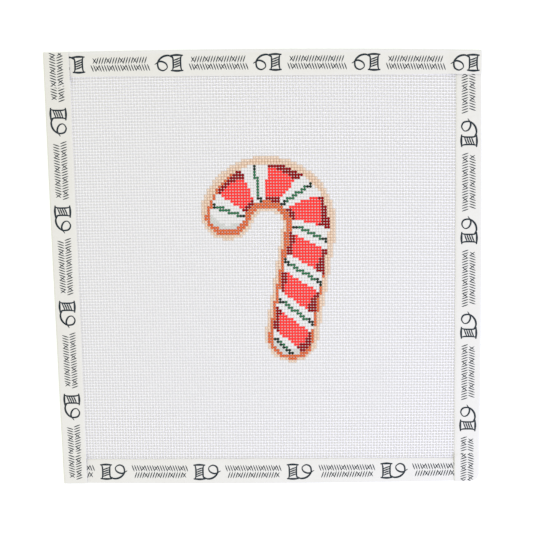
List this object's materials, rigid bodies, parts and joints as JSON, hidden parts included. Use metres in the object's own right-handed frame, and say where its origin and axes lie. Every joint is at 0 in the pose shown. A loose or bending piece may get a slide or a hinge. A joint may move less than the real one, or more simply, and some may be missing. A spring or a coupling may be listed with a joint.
{
  "type": "painted needlepoint canvas",
  "caption": "Square needlepoint canvas of open cotton weave, painted with a candy cane cookie to stitch over and bound on all sides in folded cotton tape.",
  "frame": {"origin": "middle of the outline on the surface it lies on", "axes": "+Z out of the painted face, +Y towards the top of the picture, +X to the picture's right"},
  "size_m": [0.2114, 0.2142, 0.0032],
  "materials": {
    "canvas_cotton": "stiff white cotton canvas, open plain weave, 18 threads to the inch",
    "binding_tape": "warm white cotton tape, fine weave, folded over the edge",
    "paint_rim": "pale tan paint on the canvas threads",
    "paint_baked_edge": "orange-brown paint on the canvas threads",
    "paint_icing": "white paint on the canvas threads",
    "paint_red": "coral red paint on the canvas threads",
    "paint_green": "dark green paint on the canvas threads"
  },
  "bodies": {
    "root": {"canvas": "canvas_cotton", "binding_left": "binding_tape", "binding_right": "binding_tape", "binding_top": "binding_tape", "binding_bottom": "binding_tape", "cookie_rim": "paint_rim", "baked_edge": "paint_baked_edge", "icing_0": "paint_icing", "icing_1": "paint_icing", "icing_2": "paint_icing", "icing_3": "paint_icing", "icing_4": "paint_icing", "icing_5": "paint_icing", "icing_6": "paint_icing", "icing_7": "paint_icing", "icing_8": "paint_icing", "icing_9": "paint_icing", "icing_10": "paint_icing", "icing_11": "paint_icing", "icing_12": "paint_icing", "icing_13": "paint_icing", "red_stripe_0": "paint_red", "red_stripe_1": "paint_red", "red_stripe_2": "paint_red", "red_stripe_3": "paint_red", "red_stripe_4": "paint_red", "red_stripe_5": "paint_red", "green_line_0": "paint_green", "green_line_1": "paint_green", "green_line_2": "paint_green", "green_line_3": "paint_green", "green_line_4": "paint_green", "green_line_5": "paint_green", "green_line_6": "paint_green"}
  },
  "joints": []
}
